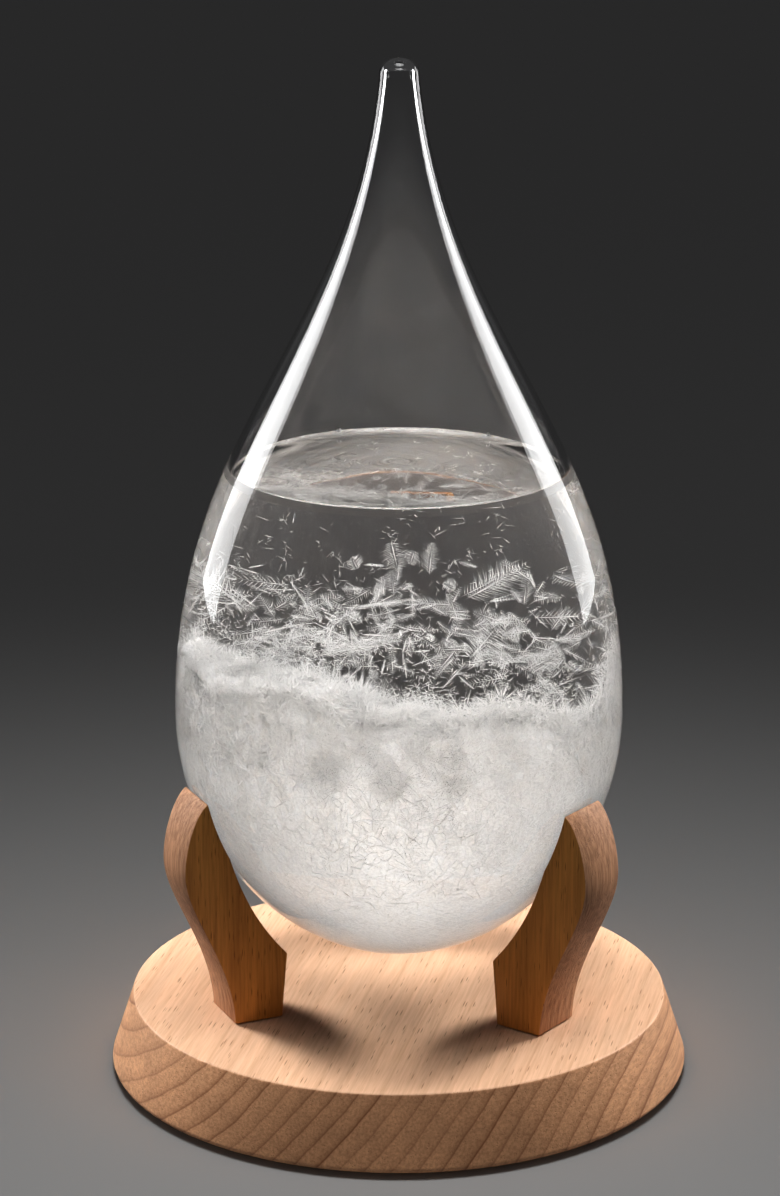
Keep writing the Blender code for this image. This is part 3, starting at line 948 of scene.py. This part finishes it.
LARGE_FERNS = (  # place over the base, way, flat side, length, spread, barbs, slant
    ((0.014, -0.020, 0.111), (0.62, 0.1, 0.80), (-0.8, 0.2, 0.6), 0.012, 0.0075, 17, 88.0),
    ((0.026, -0.018, 0.108), (0.80, 0.2, 0.35), (-0.3, 0.2, 0.9), 0.010, 0.0035, 22, 60.0),
    ((-0.016, -0.020, 0.112), (0.97, 0.1, 0.22), (0.1, 0.5, 0.8), 0.019, 0.0045, 26, 35.0),
    ((-0.020, -0.018, 0.117), (0.90, 0.1, -0.30), (0.3, 0.4, 0.8), 0.016, 0.0035, 24, 40.0),
    ((-0.030, -0.018, 0.108), (0.75, 0.0, 0.62), (-0.6, 0.4, 0.7), 0.015, 0.0030, 20, 50.0),
    ((-0.008, -0.016, 0.1225), (0.99, 0.1, 0.03), (0.0, 0.9, 0.2), 0.014, 0.0018, 30, 60.0),
    ((-0.004, -0.014, 0.1235), (0.10, 0.1, 0.95), (0.9, 0.3, 0.1), 0.005, 0.0020, 12, 55.0),
    ((0.018, -0.020, 0.1245), (0.95, 0.1, 0.12), (0.1, 0.2, 0.9), 0.006, 0.0008, 9, 45.0),
    ((-0.012, -0.022, 0.106), (0.05, 0.1, 0.99), (0.9, 0.3, 0.0), 0.008, 0.0012, 12, 40.0),
    ((-0.040, -0.004, 0.119), (0.60, 0.3, 0.75), (-0.7, 0.3, 0.6), 0.007, 0.0020, 12, 50.0),
    ((0.010, 0.024, 0.112), (0.70, -0.3, 0.60), (-0.6, 0.2, 0.7), 0.014, 0.0050, 20, 60.0),
    ((-0.022, 0.026, 0.108), (-0.60, 0.3, 0.70), (0.7, 0.1, 0.6), 0.014, 0.0045, 20, 60.0),
)


def make_large_ferns(needle, material):
    """The few big feathers and planks of crystal, each one in its own place."""
    draw = np.random.default_rng(25)
    frames = []
    for place, way, flat, length, spread, barbs, slant in LARGE_FERNS:
        spot = np.array(place) + (0, 0, BASE_BOTTOM)
        frames.append(fern_frames(spot, way, flat, length, spread, barbs, draw, slant))
        for _ in range(2):
            nudge = draw.normal(size=3) * 0.0006
            turned_way = np.array(way) + draw.normal(size=3) * 0.08
            sizes = (length * 0.9, spread * 0.8, barbs)
            frames.append(fern_frames(spot + nudge, turned_way, flat, *sizes, draw, slant - 8))
    return scattered("large_ferns", needle, np.concatenate(frames), material)


def make_specks(needle, material):
    """Single splinters that drift higher up, almost to the surface."""
    draw = np.random.default_rng(26)
    frames = []
    for _ in range(SPLINTER_GROUPS):
        turn = draw.uniform(0, math.tau)
        radius = SPLINTER_REACH * math.sqrt(draw.uniform(0, 1))
        over = 0.108 + 0.036 * draw.uniform(0, 1) ** 1.5
        place = np.array([radius * math.cos(turn), radius * math.sin(turn), BASE_BOTTOM + over])
        count = int(draw.integers(1, 9))
        ways = draw.normal(size=(count, 3))
        lengths = draw.uniform(0.0006, 0.0028, count)
        widths = draw.uniform(0.00006, 0.00016, count)
        places = place + draw.normal(size=(count, 3)) * 0.0007
        frames.append(frames_along(places, ways, lengths, widths, draw))
    return scattered("drifting_splinters", needle, np.concatenate(frames), material)


def streak_group():
    """Faint pale streaks that cross each other, as packed needles do under the glass, and darker lines
    between them that are painted shade.
    """
    tree, given, out = new_group(
        "needle_streaks",
        [("Place", "Vector", None), ("Length", "Float", 0.006), ("Width", "Float", 0.00045)],
        [("Streaks", "Float"), ("Shaded Gaps", "Float"), ("Clouds", "Float")],
    )
    along = maths(tree, "DIVIDE", 1.0, given["Length"])
    across = maths(tree, "DIVIDE", 1.0, given["Width"])
    stretch = add_node(tree, "CombineXYZ", {0: across, 1: across, 2: along}).outputs[0]
    total = None
    shaded_gaps = None
    for turn in ((0.3, 0.2, 0.0), (1.3, 0.5, 0.7), (-0.9, 0.9, 1.9), (0.7, -1.2, 2.6)):
        laid = add_node(tree, "Mapping", {"Vector": given["Place"], "Rotation": turn}).outputs[0]
        thin = add_node(tree, "VectorMath", {0: laid, 1: stretch}, operation="MULTIPLY").outputs[0]
        values = {"Vector": thin, "Scale": 1.0, "Detail": 1.0}
        lines = add_node(tree, "TexNoise", values).outputs["Fac"]
        crest = ramp(tree, lines, [(0.58, 0.0), (0.66, 1.0)])
        # The hollows of the noise make darker lines: painted shade between the needles.
        hollow = ramp(tree, lines, [(0.30, 1.0), (0.40, 0.0)])
        total = crest if total is None else maths(tree, "MAXIMUM", total, crest)
        shaded_gaps = hollow if shaded_gaps is None else maths(tree, "MAXIMUM", shaded_gaps, hollow)
    tree.links.new(total, out["Streaks"])
    tree.links.new(shaded_gaps, out["Shaded Gaps"])
    clouds = stretched_noise(tree, given["Place"], (90, 90, 90), 4.0, 0.6)
    tree.links.new(clouds, out["Clouds"])
    return tree


def crystal_material(name, colour, shade, roughness, glow, streaks):
    """Bright white crystal, which light from behind shows through."""
    material, tree, shader = new_material(name)
    place = add_node(tree, "TexCoord").outputs["Object"]
    figure = add_node(tree, "Group", node_tree=streaks)
    set_inputs(figure, {"Place": place})
    cloud = ramp(tree, figure.outputs["Clouds"], [(0.38, shade), (0.60, colour)])
    gap = tuple(0.72 * part for part in shade)
    # Darker gap lines laid over the tone: painted shade between packed needles.
    tone = mixed(tree, times(tree, figure.outputs["Shaded Gaps"], 0.3), cloud, (*gap, 1))
    tone = mixed(tree, times(tree, figure.outputs["Streaks"], 0.75), tone, (0.99, 0.98, 0.965, 1))
    set_inputs(shader, {"Base Color": tone, "Roughness": roughness})
    if glow:
        back = add_node(tree, "BsdfTranslucent", {"Color": tone})
        mix_surface(tree, glow, shader, back)
    return material


def make_crystals():
    streaks = streak_group()
    finishes = (  # name, colour, shade, roughness and how much light comes through
        # the packed heart is greyer than the loose needles of the same camphor: painted shade inside the heap
        ("packed_crystals_painted_shade", (0.88, 0.865, 0.85), (0.79, 0.775, 0.76), 0.6, 0.0),
        ("snowy_needles", (0.985, 0.975, 0.965), (0.94, 0.93, 0.92), 0.45, 0.1),
        ("fine_crystals", (0.95, 0.95, 0.95), (0.86, 0.86, 0.86), 0.3, 0.45),
        ("glinting_crystals", (0.93, 0.93, 0.93), (0.8, 0.8, 0.8), 0.12, 0.35),
    )
    packed, snowy, fine, glinting = [crystal_material(*finish, streaks) for finish in finishes]
    snow = {"Subsurface Weight": 1.0, "Subsurface Radius": (1.0, 0.95, 0.9), "Subsurface Scale": 0.02}
    set_inputs(packed.node_tree.nodes["Principled BSDF"], snow)
    film = {"Thin Film Thickness": 420.0, "Thin Film IOR": 1.6}
    set_inputs(glinting.node_tree.nodes["Principled BSDF"], film)
    heap = make_heap(packed)
    needle_object = make_needle()
    needle = mesh_arrays(needle_object)
    bpy.data.objects.remove(needle_object)
    return [
        heap,
        make_tufts(needle, fine),
        make_rim_tufts(needle, snowy),
        make_wall_needles(needle, snowy),
        make_loose_crystals(needle, fine),
        make_drifting_ferns(needle, glinting),
        make_large_ferns(needle, glinting),
        make_specks(needle, glinting),
    ]


FIGURE = ("Wood", "Ring", "Fleck", "Ring Spacing", "Ring Strength", "Fibre Strength")
FIGURE += ("Fleck Strength", "Fleck Length", "Fleck Crowding")
BOARDS = {  # each kind of face on the stand: its relief, three colours, and the rest of its figure
    "base_beech": (0.25, (0.79, 0.485, 0.31, 1), (0.46, 0.22, 0.10, 1), (0.34, 0.15, 0.07, 1),
                   0.0045, 0.34, 0.4, 0.95, 0.0085, 1500.0),
    # the rim is the top's beech made darker and redder, which is painted shade, over its strong side rings
    "base_rim_beech_painted_shade": (0.5, (0.71, 0.37, 0.19, 1), (0.27, 0.105, 0.045, 1), (0.30, 0.13, 0.06, 1),
                       0.0045, 1.0, 0.55, 0.5, 0.0016, 1500.0),
    # the broad faces of the legs: beech grain in a deep orange that holds painted shade and warm bounce light
    "leg_face_beech_painted_shade": (0.25, (0.73, 0.32, 0.07, 1), (0.38, 0.14, 0.03, 1), (0.15, 0.045, 0.008, 1),
                       0.006, 0.35, 0.7, 0.9, 0.0055, 2000.0),
    "leg_sawn_beech": (0.6, (0.54, 0.27, 0.14, 1), (0.24, 0.105, 0.05, 1), (0.14, 0.06, 0.03, 1),
                       0.0045, 0.3, 0.95, 0.8, 0.004, 2600.0),
}


def main():
    boards = [wood(name, relief, dict(zip(FIGURE, figure))) for name, (relief, *figure) in BOARDS.items()]
    flat, rim, broad, sawn = boards
    make_base(flat, rim)
    for side, azimuth in LEG_AZIMUTHS.items():
        make_leg(side, azimuth, broad, sawn)
    dowel = {"Wood": (0.74, 0.50, 0.32, 1), "Ring Strength": 0.3, "Fibre Strength": 0.5}
    dress("leg_dowel_", wood("dowel_beech", 0.25, dowel, (math.radians(90), 0, 0)))
    dress("leg_screw_", zinc_plate("zinc_plated_steel"))
    dress("felt_pad_", felt("grey_felt"))
    glass_ior = 1.47
    solution_ior = 1.37
    surface_tint = (1.0, 0.94, 0.885)
    # The side tint sits on a sheet that bends no light and darkens all that is seen through the solution:
    # painted shade.
    side_tint_painted_shade = (0.86, 0.83, 0.805)
    make_glass(
        clear_material("borosilicate_glass", glass_ior),
        clear_material("wetted_glass", glass_ior / solution_ior),
    )
    make_solution(
        clear_material("camphor_solution", solution_ior, surface_tint),
        clear_material("solution_on_glass_painted_shade", 1.0, side_tint_painted_shade),
    )
    make_bubbles(clear_material("bubble_film", solution_ior))
    return make_crystals()


def add_light(name, place, aim, energy, size, colour=(1, 1, 1), spread=180):
    light = bpy.data.lights.new(name, "AREA")
    light.shape = "RECTANGLE"
    light.size = size[0]
    light.size_y = size[1]
    light.energy = energy
    light.color = colour
    light.spread = math.radians(spread)
    obj = bpy.data.objects.new(name, light)
    obj.location = place
    obj.rotation_euler = (Vector(aim) - Vector(place)).to_track_quat("-Z", "Y").to_euler()
    obj.visible_camera = False
    bpy.context.scene.collection.objects.link(obj)
    return obj


def flagged(light, name, pieces):
    """Keeps a light on these pieces only, as black flags do in a studio."""
    lit = bpy.data.collections.new(name)
    for piece in pieces:
        lit.objects.link(piece)
    light.light_linking.receiver_collection = lit


def make_floor():
    bpy.ops.object.select_all(action="DESELECT")
    bpy.ops.mesh.primitive_plane_add(size=60, location=(0, 0, -0.0002))
    floor = bpy.context.object
    floor.name = "studio_floor"
    material, _, shader = new_material("pale_floor")
    set_inputs(shader, {"Base Color": (0.52, 0.517, 0.512, 1), "Roughness": 0.9, "Specular IOR Level": 0.1})
    paint(floor, material)
    world = bpy.data.worlds.new("studio_world")
    world.use_nodes = True
    set_inputs(world.node_tree.nodes["Background"], {"Color": (0.5, 0.5, 0.51, 1), "Strength": 0.08})
    bpy.context.scene.world = world


def make_lights(whole_object, crystals):
    """Two tall strips that edge the glass, and soft lights, some kept to the pieces that need them."""
    drop_middle = (0, 0, 0.13)
    heap_middle = (0, 0, 0.08)
    wide = (0.5, 0.5)
    for side, glare, wash in ((-1, 3.4, 0.50), (1, 3.1, 0.46)):
        strip = add_light("strip", (side * 0.71, 0.43, 0.33), (0, 0, 0.16), glare, (0.34, 0.56))
        strip.visible_diffuse = False
        place = (side * 0.5, 0.36, 0.52)
        side_light = add_light("side_light", place, (0, -0.02, 0.05), wash, (0.3, 0.3), spread=30)
        side_light.visible_glossy = False
        side_light.visible_transmission = False
        flagged(side_light, "lit_from_the_side", whole_object)
    add_light("top_softbox", (0, -0.08, 0.95), (0, -0.10, 0), 0.30, (0.4, 0.4), spread=44)
    base = [bpy.data.objects["turned_base"]]
    fills = (  # name, place, aim, energy, colour, spread, and the pieces that it is kept to
        ("front_fill", (-0.25, -1.1, 0.75), drop_middle, 0.012, (1, 1, 1), 20, None),
        ("board_fill", (0, -0.16, 0.9), (0, -0.04, 0), 0.15, (1.0, 0.93, 0.87), 40, base),
        ("crystal_fill", (0.1, -0.9, 0.15), heap_middle, 1.35, (1.0, 0.975, 0.95), 40, crystals),
        ("crystal_back_fill", (-0.1, 0.9, 0.35), heap_middle, 1.0, (1.0, 0.95, 0.90), 40, crystals),
    )
    for name, place, aim, energy, colour, spread, pieces in fills:
        fill = add_light(name, place, aim, energy, wide, colour, spread)
        fill.visible_glossy = False
        fill.visible_transmission = False
        if pieces:
            flagged(fill, "lit_by_" + name, pieces)


def make_camera():
    lens = bpy.data.cameras.new("camera")
    lens.sensor_fit = "VERTICAL"
    lens.sensor_height = 36
    lens.lens = 103.9
    lens.clip_start = 0.01
    camera = bpy.data.objects.new("camera", lens)
    bpy.context.scene.collection.objects.link(camera)
    camera.location = (0, -0.812, 0.3571)
    sight = Vector((-0.0022, 0, 0.1211)) - camera.location
    camera.rotation_euler = sight.to_track_quat("-Z", "Y").to_euler()
    bpy.context.scene.camera = camera


def make_studio(crystals):
    whole_object = [piece for piece in bpy.context.scene.objects if piece.type == "MESH"]
    make_floor()
    make_lights(whole_object, crystals)
    make_camera()
    bpy.context.scene.view_settings.view_transform = "Standard"
    bpy.context.scene.cycles.caustics_reflective = False
    bpy.context.scene.cycles.caustics_refractive = False


make_studio(main())
